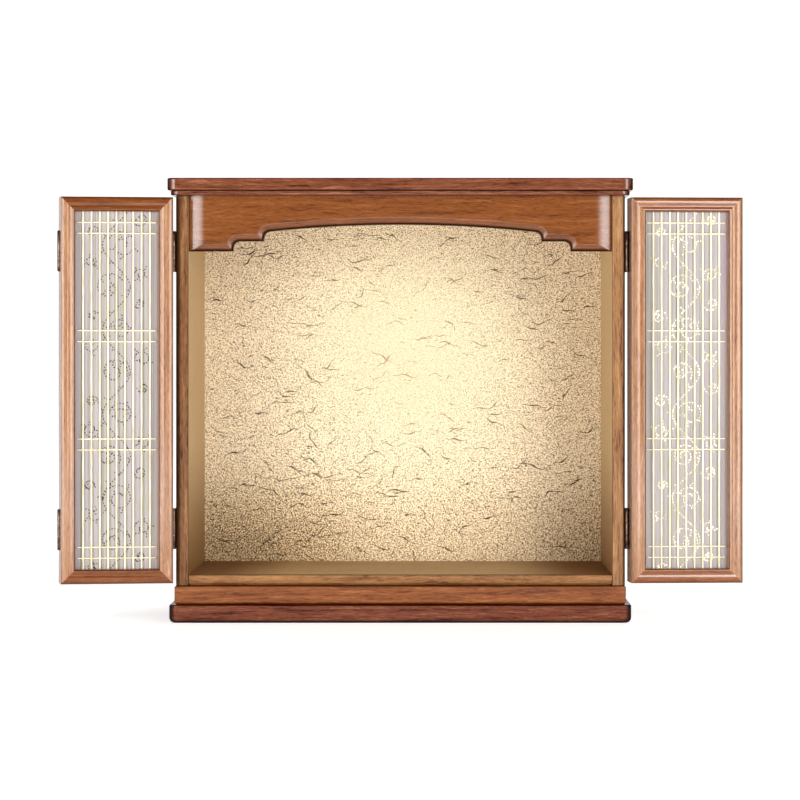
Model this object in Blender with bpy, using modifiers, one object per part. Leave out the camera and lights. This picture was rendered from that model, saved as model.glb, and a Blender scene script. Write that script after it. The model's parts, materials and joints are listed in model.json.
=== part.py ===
# Household altar cabinet with folding lattice doors.
# Metres, +X to the right, +Y to the back, +Z up. The origin is the middle of the underside.
# Each door is two leaves: the side leaf hangs on the case, the centre leaf hangs on the side leaf.
# Shut, the four leaves lie in one plane before the case. Here they are folded and swung out.

import math

import bmesh
import bpy

# Case
CASE_WIDTH = 0.492
CASE_BACK = 0.153            # rear of the side walls
FRONT = -0.131               # front plane of the side walls, header and sill
WALL = 0.014                 # side wall thickness
CASE_BOTTOM = 0.0398
CASE_TOP = 0.466
FIT = 0.0003                 # joint line between two pieces
FLOOR_TOP = 0.0508
SILL_DEPTH = 0.014
INNER_DEPTH = 0.270          # front plane to the gold lining
LINING = 0.0025
BACK_PANEL = 0.006
CEILING_BOTTOM = 0.454

# Base and top
BASE_PLATE_WIDTH = 0.504
PLATE_DEPTH = 0.310
PLATE_CORNER = 0.0065        # corner radius in plan
EDGE_ROUND = 0.0018
BASE_PLATE_TOP = 0.0198
BASE_BOARD_OVERHANG = 0.019  # in front of the case, under the shut doors
BASE_BOARD_TOP = 0.0395
MOULDING_WIDTH = 0.501
MOULDING_OVERHANG = 0.020
MOULDING_TOP = 0.4713
TOP_PLATE_WIDTH = 0.508
HEIGHT = 0.485

# Header board
HEADER_BACK = 0.018          # its thickness, from the front plane
HEADER_LOW = 0.4056          # lower edge at the two ends
HEADER_STEP = 0.4166         # lower edge between the two cusps
ARCH_CROWN = 0.4348
ARCH_RADIUS = 1.384
CUSPS_LEFT = (0.1830, 0.1493)     # outer and inner cusp, from the middle
CUSPS_RIGHT = (0.1865, 0.1546)
CUSP_ARC = 0.0068
ARCH_STEPS = 10
HEADER_ROUND = 0.005         # round-over of the lower front edge
END_ROLL = 0.0375            # radius of the roll at the two ends
END_ROLL_WIDTH = 0.015

# Door leaves
CENTRE_GAP = 0.001           # between leaves that meet edge to edge
LEAF_WIDTH = (CASE_WIDTH - 3 * CENTRE_GAP) / 4
LEAF_BOTTOM = 0.0433
LEAF_TOP = 0.4639
LEAF_THICK = 0.018
LEAF_STANDOFF = 0.001        # between the shut leaf and the case
FRAME = 0.016                # width of a stile or rail
BEAD_SAG = 0.0014
BEAD_SPLIT = 0.0082          # valley between the two beads, from the outer edge
BEAD_END = 0.0152
BEAD_STEPS = 3
SIGHT_DEPTH = 0.0045         # where the inner bead meets the sight edge
GROOVE = (0.0103, 0.0139)    # depth of the pane's groove behind the face
GROOVE_BOTTOM = 0.0128       # from the frame member's outer edge
PANE = 0.003

# Lattice
UPRIGHTS = 9
UPRIGHT_PITCH = 0.00908
UPRIGHT_WIDTH = 0.0020
CROSS_WIDTH = 0.0014
CROSS_PAIRS = (-0.1767, -0.0589, 0.0589, 0.1767)   # heights of the pairs from the leaf's middle
CROSS_SPACING = 0.0119
CROSS_SHORT = 0.0022         # a cross bar stops short of the stile
LATTICE_THICK = 0.0025

# Hinges
AXIS_OUT = 0.00225           # swing axis outside the case wall
FOLD_PROUD = 0.0022          # fold axis behind the leaf's inner face
BARREL = 0.002               # radius
PIN = 0.0008
PIN_BORE = 0.00095
HINGE_PLATE = 0.0009
HINGE_REACH = 0.0135
HINGE_HEIGHT = 0.0448
HINGE_OFFSET = 0.1517        # hinge middle above or below the leaf's middle
MORTISE = 0.0012
LEFT_OPEN = 170.7            # degrees open from shut
RIGHT_OPEN = 184.5

HALF = CASE_WIDTH / 2
PLATE_FRONT = -PLATE_DEPTH / 2
PLATE_BACK = PLATE_DEPTH / 2
LEAF_MIDDLE = (LEAF_BOTTOM + LEAF_TOP) / 2
LEAF_HEIGHT = LEAF_TOP - LEAF_BOTTOM


def clear_scene():
    for obj in list(bpy.data.objects):
        bpy.data.objects.remove(obj, do_unlink=True)


def collection(name):
    made = bpy.data.collections.new(name)
    bpy.context.scene.collection.children.link(made)
    return made


def material(name, colour, roughness, metallic=0.0):
    made = bpy.data.materials.new(name)
    made.use_nodes = True
    shader = made.node_tree.nodes["Principled BSDF"]
    shader.inputs["Base Color"].default_value = (*colour, 1)
    shader.inputs["Roughness"].default_value = roughness
    shader.inputs["Metallic"].default_value = metallic
    return made


def add_object(name, bm, finish, parent=None, place=(0, 0, 0)):
    bmesh.ops.recalc_face_normals(bm, faces=bm.faces)
    if bm.calc_volume(signed=True) < 0:
        bmesh.ops.reverse_faces(bm, faces=bm.faces)
    mesh = bpy.data.meshes.new(name)
    bm.to_mesh(mesh)
    bm.free()
    obj = bpy.data.objects.new(name, mesh)
    obj.location = place
    obj.parent = parent
    if finish is None:
        cutters.objects.link(obj)
        obj.hide_render = True
        obj.display_type = "WIRE"
    else:
        parts.objects.link(obj)
        mesh.materials.append(finish)
        mesh.shade_smooth()
        mesh.set_sharp_from_angle(angle=math.radians(35))
    return obj


def cube(bm, low, high):
    """Adds a box between two corners."""
    made = bmesh.ops.create_cube(bm, size=1)["verts"]
    for vert in made:
        for axis in range(3):
            middle = (low[axis] + high[axis]) / 2
            vert.co[axis] = middle + vert.co[axis] * abs(high[axis] - low[axis])
    return made


def box(name, low, high, finish, parent=None):
    """A box node whose object sits at the box's middle."""
    middle = [(a + b) / 2 for a, b in zip(low, high)]
    bm = bmesh.new()
    cube(bm, [a - m for a, m in zip(low, middle)], [b - m for b, m in zip(high, middle)])
    return add_object(name, bm, finish, parent, middle)


def round_edges(obj, width, segments=2, angle=50):
    made = obj.modifiers.new("round", "BEVEL")
    made.width = width
    made.segments = segments
    made.limit_method = "ANGLE"
    made.angle_limit = math.radians(angle)


def boolean(obj, other, operation):
    made = obj.modifiers.new(operation.lower(), "BOOLEAN")
    made.operation = operation
    made.object = other


def plate(name, width, front, back, bottom, top, rounding=EDGE_ROUND, segments=2):
    """A board whose upright corners are rounded in plan, with softened edges."""
    bm = bmesh.new()
    cube(bm, (-width / 2, front, bottom), (width / 2, back, top))
    upright = [e for e in bm.edges if abs(e.verts[0].co.z - e.verts[1].co.z) > 0.001]
    bmesh.ops.bevel(bm, geom=upright, offset=PLATE_CORNER, segments=3, profile=0.5, affect="EDGES")
    obj = add_object(name, bm, dark_wood)
    round_edges(obj, rounding, segments)


def base():
    plate("base_plate", BASE_PLATE_WIDTH, PLATE_FRONT, PLATE_BACK, 0, BASE_PLATE_TOP)
    board = box(
        "base_board",
        (-HALF, FRONT - BASE_BOARD_OVERHANG, BASE_PLATE_TOP + FIT),
        (HALF, CASE_BACK, BASE_BOARD_TOP),
        wood,
    )
    round_edges(board, 0.0018, segments=1)


def top():
    bottom = CASE_TOP + FIT
    front = FRONT - MOULDING_OVERHANG
    plate("top_moulding", MOULDING_WIDTH, front, CASE_BACK, bottom, MOULDING_TOP, 0.001, 1)
    plate("top_plate", TOP_PLATE_WIDTH, PLATE_FRONT, PLATE_BACK, MOULDING_TOP + FIT, HEIGHT)


def case():
    inside = HALF - WALL
    rear = FRONT + INNER_DEPTH
    for side, sign in (("left", -1), ("right", 1)):
        edges = sorted((sign * HALF, sign * inside))
        wall = box(
            "side_" + side,
            (edges[0], FRONT, CASE_BOTTOM),
            (edges[1], CASE_BACK, CASE_TOP),
            wood,
        )
        round_edges(wall, 0.001, segments=1)
    half = inside - FIT
    sill = box(
        "sill_rail",
        (-half, FRONT, CASE_BOTTOM),
        (half, FRONT + SILL_DEPTH, FLOOR_TOP + FIT),
        wood,
    )
    round_edges(sill, 0.0008, segments=1)
    behind_sill = FRONT + SILL_DEPTH + FIT
    box("floor_board", (-half, behind_sill, CASE_BOTTOM), (half, rear - FIT, FLOOR_TOP), inner_wood)
    box(
        "ceiling_board",
        (-half, FRONT + HEADER_BACK + FIT, CEILING_BOTTOM),
        (half, rear - FIT, CASE_TOP),
        inner_wood,
    )
    box("back_lining", (-half, rear, CASE_BOTTOM), (half, rear + LINING, CASE_TOP), gold_paper)
    panel = rear + LINING + FIT
    box("back_panel", (-half, panel, CASE_BOTTOM), (half, panel + BACK_PANEL, CASE_TOP), inner_wood)


def cusp_side(outer, inner, inset):
    """Lower edge of half the header, from its end to the arch, as (distance from the middle, z).

    inset moves the edge into the wood.
    """
    radius = CUSP_ARC + inset
    across = inner - CUSP_ARC
    reach = ARCH_RADIUS - CUSP_ARC
    tangent = math.asin(across / reach)
    spring = ARCH_CROWN - ARCH_RADIUS + reach * math.cos(tangent)
    points = [(HALF - WALL - FIT, HEADER_LOW + inset)]
    for cusp, low, centre, last in (
        (outer, HEADER_LOW, HEADER_STEP - CUSP_ARC, math.pi / 2),
        (inner, HEADER_STEP, spring, math.pi / 2 - tangent),
    ):
        first = math.asin(max(0, low + inset - centre) / radius)
        away = cusp - CUSP_ARC
        points.append((away + radius * math.cos(first), low + inset))
        for step in range(4):
            turn = first + (last - first) * step / 3
            points.append((away + radius * math.cos(turn), centre + radius * math.sin(turn)))
    return points, tangent


def header_ring(inset):
    """The header's whole outline with its lower edge moved up by inset."""
    half = HALF - WALL - FIT
    left, start = cusp_side(*CUSPS_LEFT, inset)
    right, end = cusp_side(*CUSPS_RIGHT, inset)
    arch = []
    for step in range(1, ARCH_STEPS):
        turn = -start + (start + end) * step / ARCH_STEPS
        radius = ARCH_RADIUS + inset
        arch.append((radius * math.sin(turn), ARCH_CROWN - ARCH_RADIUS + radius * math.cos(turn)))
    ring = [(-away, z) for away, z in left] + arch + right[::-1]
    return ring + [(half, CASE_TOP), (-half, CASE_TOP)]


def outline_solid(points, low, high):
    """A flat outline in plan drawn up from low to high."""
    bm = bmesh.new()
    face = bm.faces.new([bm.verts.new((x, y, low)) for x, y in points])
    drawn = bmesh.ops.extrude_face_region(bm, geom=[face])["geom"]
    tops = [vert for vert in drawn if isinstance(vert, bmesh.types.BMVert)]
    bmesh.ops.translate(bm, vec=(0, 0, high - low), verts=tops)
    return bm


def header():
    """The shaped board under the top: lower front edge rounded over, ends rolled back."""
    half = HALF - WALL - FIT
    front, back = FRONT + FIT, FRONT + HEADER_BACK
    layers = [(0, back)]
    for step in range(4):
        turn = math.radians(90 * step / 3)
        inset = HEADER_ROUND * (1 - math.cos(turn))
        layers.append((inset, front + HEADER_ROUND * (1 - math.sin(turn))))
    bm = bmesh.new()
    rings = [[bm.verts.new((x, y, z)) for x, z in header_ring(inset)] for inset, y in layers]
    for one, other in zip(rings, rings[1:]):
        for index in range(len(one)):
            bm.faces.new((one[index - 1], one[index], other[index], other[index - 1]))
    bm.faces.new(rings[0])
    bm.faces.new(rings[-1])
    bmesh.ops.remove_doubles(bm, verts=bm.verts, dist=0.00001)
    bmesh.ops.dissolve_degenerate(bm, edges=bm.edges, dist=0.00001)
    board = add_object("header_board", bm, wood)
    rolled = []
    for step in range(5):
        turn = math.asin(END_ROLL_WIDTH / END_ROLL) * step / 4
        across = half - END_ROLL_WIDTH + END_ROLL * math.sin(turn)
        rolled.append((across, front - 0.0001 + END_ROLL * (1 - math.cos(turn))))
    rolled.append((half + 0.001, rolled[-1][1]))
    rolled.append((half + 0.001, back + 0.002))
    plan = rolled + [(-across, y) for across, y in rolled[::-1]]
    bm = outline_solid(plan, HEADER_LOW - 0.01, CASE_TOP + 0.01)
    boolean(board, add_object("header_roll_cutter", bm, None), "INTERSECT")


def moulded_section():
    """Cross-section of a stile or rail as (from the outer edge, behind the face)."""
    points = []
    for start, end in ((0, BEAD_SPLIT), (BEAD_SPLIT, BEAD_END)):
        for step in range(BEAD_STEPS + (end == BEAD_END)):
            along = step / BEAD_STEPS
            points.append((start + (end - start) * along, BEAD_SAG * (2 * along - 1) ** 2))
    points.append((FRAME, SIGHT_DEPTH))
    points += [(FRAME, GROOVE[0]), (GROOVE_BOTTOM, GROOVE[0])]
    points += [(GROOVE_BOTTOM, GROOVE[1]), (FRAME, GROOVE[1])]
    return points + [(FRAME, LEAF_THICK), (0, LEAF_THICK)]


def member(name, length, place, parent):
    """A frame member along X or Z, drawn out from the section and sheared to its mitres.

    place maps (along, inward, behind) to the leaf's own axes.
    """
    bm = bmesh.new()
    section = moulded_section()
    face = bm.faces.new([bm.verts.new((u, u, n)) for u, n in section])
    drawn = bmesh.ops.extrude_face_region(bm, geom=[face])["geom"]
    for vert in drawn:
        if isinstance(vert, bmesh.types.BMVert):
            vert.co.x = length - vert.co.x
    for vert in bm.verts:
        vert.co = place(*vert.co)
    return add_object(name, bm, wood, parent)


def lattice(name, left, face, parent):
    """Lapped slats: a thin board with every opening between the slats cut out."""
    middle = left + LEAF_WIDTH / 2
    half_width = LEAF_WIDTH / 2 - FRAME - CROSS_SHORT
    half_height = LEAF_HEIGHT / 2 - FRAME - FIT
    back = face + GROOVE[0]
    front = back - LATTICE_THICK
    bm = bmesh.new()
    cube(
        bm,
        (middle - half_width, front, LEAF_MIDDLE - half_height),
        (middle + half_width, back, LEAF_MIDDLE + half_height),
    )
    board = add_object(name, bm, slat_wood, parent)
    first = -(UPRIGHTS - 1) / 2 * UPRIGHT_PITCH
    columns = gaps([first + i * UPRIGHT_PITCH for i in range(UPRIGHTS)], UPRIGHT_WIDTH, half_width)
    bars = [pair + side * CROSS_SPACING / 2 for pair in CROSS_PAIRS for side in (-1, 1)]
    rows = gaps(bars, CROSS_WIDTH, half_height)
    bm = bmesh.new()
    for x0, x1 in columns:
        for z0, z1 in rows:
            cube(
                bm,
                (middle + x0, front - 0.001, LEAF_MIDDLE + z0),
                (middle + x1, back + 0.001, LEAF_MIDDLE + z1),
            )
    cutter = add_object(name + "_cutter", bm, None, parent)
    boolean(board, cutter, "DIFFERENCE")


def gaps(bars, width, reach):
    """The clear stretches between bars, and past the end ones, to just beyond reach."""
    starts = [-reach - 0.001] + [bar + width / 2 for bar in bars]
    ends = [bar - width / 2 for bar in bars] + [reach + 0.001]
    return list(zip(starts, ends))


def leaf(prefix, names, hand, edge, inner_face, parent):
    """A leaf from its own edge along +X (hand 1) or -X (hand -1), its moulded face towards -Y."""
    face = inner_face - LEAF_THICK
    near = min(hand * edge, hand * (edge + LEAF_WIDTH))
    stiles = {}
    sides = ((names[0], hand * edge, hand), (names[1], hand * (edge + LEAF_WIDTH), -hand))
    for name, outer, inward in sides:
        stiles[name] = member(
            prefix + "_stile_" + name,
            LEAF_HEIGHT,
            lambda a, u, n, o=outer, s=inward: (o + s * u, face + n, LEAF_BOTTOM + a),
            parent,
        )
    for name, start, up in (("bottom", LEAF_BOTTOM, 1), ("top", LEAF_TOP, -1)):
        member(
            prefix + "_rail_" + name,
            LEAF_WIDTH,
            lambda a, u, n, z=start, s=up: (near + a, face + n, z + s * u),
            parent,
        )
    lattice(prefix + "_lattice", near, face, parent)
    reach = GROOVE_BOTTOM + FIT
    box(
        prefix + "_pane",
        (near + reach, face + GROOVE[0] + FIT, LEAF_BOTTOM + reach),
        (near + LEAF_WIDTH - reach, face + GROOVE[0] + FIT + PANE, LEAF_TOP - reach),
        gauze,
        parent,
    )
    return stiles


def cylinder(bm, radius, low, high, sides):
    made = bmesh.ops.create_cone(
        bm,
        cap_ends=True,
        segments=sides,
        radius1=radius,
        radius2=radius,
        depth=high - low,
    )["verts"]
    bmesh.ops.translate(bm, vec=(0, 0, (low + high) / 2), verts=made)


def hinge_half(name, toward, behind, skin, centre, ends, parent, place=(0, 0, 0)):
    """Half a butt hinge about a Z axis at the parent's origin, or at place.

    Its plate runs along Y, behind (1) or before (-1) the axis, on the side of the axis that
    toward names. skin is how far the plate's outer face is from the axis. ends makes the half
    that has both end knuckles and the pin; the other half has the middle knuckle on the pin.
    """
    knuckle = HINGE_HEIGHT / 3
    bottom = centre - HINGE_HEIGHT / 2
    inner = skin - HINGE_PLATE
    bm = bmesh.new()
    cube(
        bm,
        (toward * inner, behind * (BARREL + 0.0001), bottom),
        (toward * skin, behind * (BARREL + HINGE_REACH), bottom + HINGE_HEIGHT),
    )
    obj = add_object(name, bm, bronze, parent, place)
    spans = [(bottom, bottom + knuckle), (bottom + 2 * knuckle, bottom + HINGE_HEIGHT)]
    if not ends:
        spans = [(bottom + knuckle + FIT, bottom + 2 * knuckle - FIT)]
    for index, (low, high) in enumerate(spans):
        bm = bmesh.new()
        cylinder(bm, BARREL, low, high, 8)
        join(obj, bm, f"{name}_knuckle_{index}", parent, place)
        bm = bmesh.new()
        cube(
            bm,
            (toward * inner, behind * 0.0002, low),
            (toward * skin, behind * (BARREL + 0.002), high),
        )
        join(obj, bm, f"{name}_leaf_{index}", parent, place)
    bm = bmesh.new()
    if ends:
        cylinder(bm, PIN, spans[0][1] - 0.001, spans[1][0] + 0.001, 6)
        join(obj, bm, name + "_pin", parent, place)
    else:
        cylinder(bm, PIN_BORE, spans[0][0] - 0.001, spans[0][1] + 0.001, 6)
        join(obj, bm, name + "_bore", parent, place, "DIFFERENCE")
    return obj


def join(obj, bm, name, parent, place, operation="UNION"):
    boolean(obj, add_object(name + "_cutter", bm, None, parent, place), operation)


def pivot(name, place, angle, parent=None):
    """An empty on a joint's axis. What hangs on it is drawn with the door shut."""
    empty = bpy.data.objects.new(name, None)
    parts.objects.link(empty)
    empty.location = place
    empty.rotation_euler = (0, 0, math.radians(angle))
    empty.parent = parent
    return empty


def mortise(stile, name, low, high, parent):
    bm = bmesh.new()
    cube(bm, low, high)
    boolean(stile, add_object(name + "_cutter", bm, None, parent), "DIFFERENCE")


def door(side, hand, open_angle):
    """Two leaves on one side: hand is the way a shut leaf runs from its hinge along X."""
    swing = pivot(
        side + "_swing_axis",
        (-hand * (HALF + AXIS_OUT), FRONT - LEAF_STANDOFF / 2, 0),
        -hand * open_angle,
    )
    inner_face = -LEAF_STANDOFF / 2
    first = side + "_side_leaf"
    side_stiles = leaf(first, ("hinge", "fold"), hand, AXIS_OUT, inner_face, swing)
    fold_at = hand * (AXIS_OUT + LEAF_WIDTH + CENTRE_GAP / 2)
    fold_place = (fold_at, inner_face + FOLD_PROUD, 0)
    fold = pivot(side + "_fold_axis", fold_place, hand * 180, swing)
    second = side + "_centre_leaf"
    centre_stiles = leaf(
        second, ("fold", "meeting"), hand, CENTRE_GAP / 2, -FOLD_PROUD, fold
    )
    for level, up in (("upper", 1), ("lower", -1)):
        centre = LEAF_MIDDLE + up * HINGE_OFFSET
        case_axis = (-hand * (HALF + AXIS_OUT), FRONT - LEAF_STANDOFF / 2, 0)
        stem = f"{side}_case_hinge_{level}"
        hinge_half(stem + "_fixed", hand, 1, AXIS_OUT - FIT, centre, True, None, case_axis)
        hinge_half(stem + "_moving", hand, -1, AXIS_OUT - FIT, centre, False, swing)
        stem = f"{side}_fold_hinge_{level}"
        skin = CENTRE_GAP / 2 + HINGE_PLATE
        hinge_half(stem + "_side", -hand, -1, skin, centre, True, swing, fold_place)
        hinge_half(stem + "_centre", hand, -1, skin, centre, False, fold)
        reach = BARREL + HINGE_REACH + FIT
        low_z = centre - HINGE_HEIGHT / 2 - FIT
        high_z = centre + HINGE_HEIGHT / 2 + FIT
        mortise(
            side_stiles["fold"],
            f"{first}_mortise_{level}",
            (fold_at - hand * (CENTRE_GAP / 2 + MORTISE), fold_place[1] - reach, low_z),
            (fold_at + hand * 0.001, fold_place[1] + 0.001, high_z),
            swing,
        )
        mortise(
            centre_stiles["fold"],
            f"{second}_mortise_{level}",
            (-hand * 0.001, -reach, low_z),
            (hand * (CENTRE_GAP / 2 + MORTISE), 0.001, high_z),
            fold,
        )


clear_scene()
parts = collection("household_altar_cabinet")
cutters = collection("cutters")
cutters.hide_render = True

wood = material("stained_walnut", (0.30, 0.125, 0.055), 0.32)
dark_wood = material("dark_stained_walnut", (0.20, 0.07, 0.04), 0.32)
inner_wood = material("varnished_inner_wood", (0.36, 0.20, 0.10), 0.3)
gold_paper = material("gold_fibre_paper", (0.80, 0.62, 0.33), 0.45, 0.6)
slat_wood = material("pale_slats", (0.82, 0.74, 0.47), 0.45)
gauze = material("patterned_gauze", (0.62, 0.58, 0.57), 0.5)
bronze = material("dark_bronze", (0.10, 0.07, 0.05), 0.35, 1.0)

base()
case()
header()
top()
door("left", 1, LEFT_OPEN)
door("right", -1, RIGHT_OPEN)
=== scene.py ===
import json
import math
import random

import bmesh
import bpy
from mathutils import Matrix, Vector


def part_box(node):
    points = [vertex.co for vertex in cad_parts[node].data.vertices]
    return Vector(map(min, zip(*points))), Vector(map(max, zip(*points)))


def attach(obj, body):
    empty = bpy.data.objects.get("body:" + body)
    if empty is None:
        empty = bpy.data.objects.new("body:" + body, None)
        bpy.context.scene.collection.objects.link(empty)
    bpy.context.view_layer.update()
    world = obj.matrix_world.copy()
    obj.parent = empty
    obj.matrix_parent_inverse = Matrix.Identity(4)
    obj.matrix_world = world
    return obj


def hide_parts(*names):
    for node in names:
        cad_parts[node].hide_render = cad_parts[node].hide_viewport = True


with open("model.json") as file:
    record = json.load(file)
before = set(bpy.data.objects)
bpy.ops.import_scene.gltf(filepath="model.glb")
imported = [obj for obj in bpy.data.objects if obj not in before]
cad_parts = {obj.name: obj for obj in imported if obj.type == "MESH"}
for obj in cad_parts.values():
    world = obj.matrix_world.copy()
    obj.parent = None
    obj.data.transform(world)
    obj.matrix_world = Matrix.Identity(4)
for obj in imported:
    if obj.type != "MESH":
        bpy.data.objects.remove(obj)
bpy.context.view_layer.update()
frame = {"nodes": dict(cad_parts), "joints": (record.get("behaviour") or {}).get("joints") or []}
mm = 0.001
joints = {joint["name"]: joint for joint in frame["joints"]}
print("frame loaded:", len(frame["nodes"]), "nodes")


def linear(hexColour):
    # an sRGB hex value as the linear RGBA that shaders take
    def channel(value):
        return value / 12.92 if value <= 0.04045 else ((value + 0.055) / 1.055) ** 2.4
    parts = [int(hexColour[i:i + 2], 16) / 255 for i in (1, 3, 5)]
    return (*[channel(value) for value in parts], 1.0)


def addNode(tree, kind, settings, links=None):
    # settings are attributes, input values, or "stops" of a colour ramp; links feed its inputs, from a
    # socket or from a node's first output
    node = tree.nodes.new("ShaderNode" + kind)
    for key, value in settings.items():
        if key == "stops":
            ramp = node.color_ramp.elements
            while len(ramp) < len(value):
                ramp.new(1.0)
            for element, (place, colour) in zip(ramp, value):
                element.position = place
                element.color = linear(colour) if isinstance(colour, str) else (colour,) * 3 + (1,)
        elif isinstance(key, int) or key in node.inputs:
            node.inputs[key].default_value = value
        else:
            setattr(node, key, value)
    for key, source in (links or {}).items():
        socket = source.outputs[0] if isinstance(source, bpy.types.Node) else source
        tree.links.new(socket, node.inputs[key])
    return node


multiply = {"data_type": "RGBA", "blend_type": "MULTIPLY"}   # settings of a Mix node
smooth = {"interpolation_type": "SMOOTHSTEP"}                # and of a MapRange node


def newMaterial(name):
    made = bpy.data.materials.new(name)
    made.use_nodes = True
    made.node_tree.nodes.clear()
    return made, made.node_tree


def millimetres(tree):
    # the piece's own coordinates in mm, so that a Scale over them is one over a size in mm
    place = addNode(tree, "TexCoord", {})
    return addNode(tree, "VectorMath", {"operation": "SCALE", "Scale": 1000.0}, {0: place.outputs["Object"]})


def finishMaterial(made, shader):
    addNode(made.node_tree, "OutputMaterial", {}, {"Surface": shader})
    return made


# Straight grained hardwood, planed, stained and sprayed with a satin lacquer. The eye sees
# long fine fibres, darker open pores, slow bands of colour and a soft sheen over them.
# Each row: the axis its grain runs on, three tones, how strong its figure and its contrast are, the
# weight and the roughness of its lacquer, and where the painted shade on its rounded edges starts
# and is full, in degrees from the front, and how much.
woodFields = ("along", "dark", "mid", "light", "figure", "contrast", "lacquer", "haze", "arris")
woodRows = {
    "boards": (0, "#512A10", "#73401C", "#88532A", 0.4, 1.0, 1.0, 0.15, (8, 44, 0.9)),
    "plinth": (0, "#582708", "#774018", "#905627", 0.3, 1.3, 0.6, 0.2, (10, 65, 1.0)),
    "sill": (0, "#653C20", "#8D6037", "#A67848", 0.3, 1.15, 0.45, 0.24, (6, 60, 1.0)),
    # the posts are shaded and lit copies of one wood: the left one darker, with its painted edge shade from
    # the very front, for the left door's shadow on it; the right one lighter, painted light from the right
    "shadedLeftPost": (2, "#4A2A16", "#845836", "#A67A50", 0.25, 1.1, 0.3, 0.24, (0, 16, 0.62)),
    "litRightPost": (2, "#5A361C", "#966B47", "#B48A5E", 0.2, 1.1, 0.3, 0.24, (4, 45, 0.85)),
    "stiles": (2, "#784D32", "#9A6C4A", "#B68C6B", 0.3, 0.95, 0.85, 0.14, (10, 40, 0.85)),
    "rails": (0, "#52290E", "#723D1B", "#8A552C", 0.25, 1.0, 1.0, 0.12, (10, 40, 0.8)),
    # a lighter copy of the rails, painted light on the right door's rails
    "litRightRails": (0, "#5E3418", "#824C2B", "#98633E", 0.25, 1.0, 1.0, 0.12, (10, 40, 0.75)),
    "plates": (0, "#421A0C", "#6C3B25", "#8E5B40", 0.25, 1.2, 0.85, 0.14, (18, 62, 0.9)),
    "topFace": (0, "#421A0C", "#6C3B25", "#8E5B40", 0.35, 1.2, 0.25, 0.42, (18, 62, 0.9)),
    "basePlate": (0, "#3A1206", "#62301C", "#835036", 0.25, 1.2, 0.45, 0.14, (9, 48, 0.95)),
    "backBoard": (0, "#6A4A2C", "#8C6844", "#A07E58", 0.5, 1.2, 0.15, 0.3, (30, 80, 0.5)),
    "inside": (0, "#B39468", "#C7A87A", "#D2B486", 0.2, 0.8, 0.2, 0.24, (30, 80, 0.5)),
}
woods = {name: dict(zip(woodFields, row)) for name, row in woodRows.items()}
woodLook = {
    "fibreWidth": 0.8, "poreWidth": 0.5, "bandWidth": 4.5,   # mm across the grain
    "stretch": 0.055,                                        # across over along
    "bendLength": 45, "bendReach": 16,                       # mm, how the grain wanders
    "bandShare": 0.55, "poreShades": [(0.32, 0.62), (0.44, 1.0)],
    "tones": ((-0.14, "dark"), (-0.03, "mid"), (0.03, "mid"), (0.16, "light")),
    "roughness": 0.6, "shine": 0.0, "grainDepth": 0.03, "grainStrength": 0.35,
    # the colour of the painted shade on rounded edges as they turn from the front, and the lacquer left on
    # them there
    "arris": "#4E3A30", "edgeShadeLacquer": 0.15,
    # these woods get painted shade towards the case's lower corners, browner there; places in mm, and
    # least is the share left in the middle
    "cornerShades": {"inside": "#B19A8A"},
    "shadedCorners": {"centre": 0.0, "sides": (110.0, 205.0), "heights": (45.0, 210.0), "least": 0.0},
}


def cornerShadeMask(tree, place, corners):
    # from 0 to 1 towards the lower left and right corners of the case, where painted shade goes
    inner, outer = corners["sides"]
    low, high = corners["heights"]
    axes = addNode(tree, "SeparateXYZ", {}, {0: place})
    offset = addNode(tree, "Math", {"operation": "SUBTRACT", 1: corners["centre"]}, {0: axes})
    sideways = addNode(tree, "Math", {"operation": "ABSOLUTE"}, {0: offset})
    nearSide = addNode(
        tree, "MapRange", {**smooth, "From Min": inner, "From Max": outer, "To Min": corners["least"]},
        {"Value": sideways},
    )
    nearFloor = addNode(
        tree, "MapRange", {**smooth, "From Min": high, "From Max": low}, {"Value": axes.outputs[2]},
    )
    return addNode(tree, "Math", {"operation": "MULTIPLY"}, {0: nearSide, 1: nearFloor})


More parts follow.
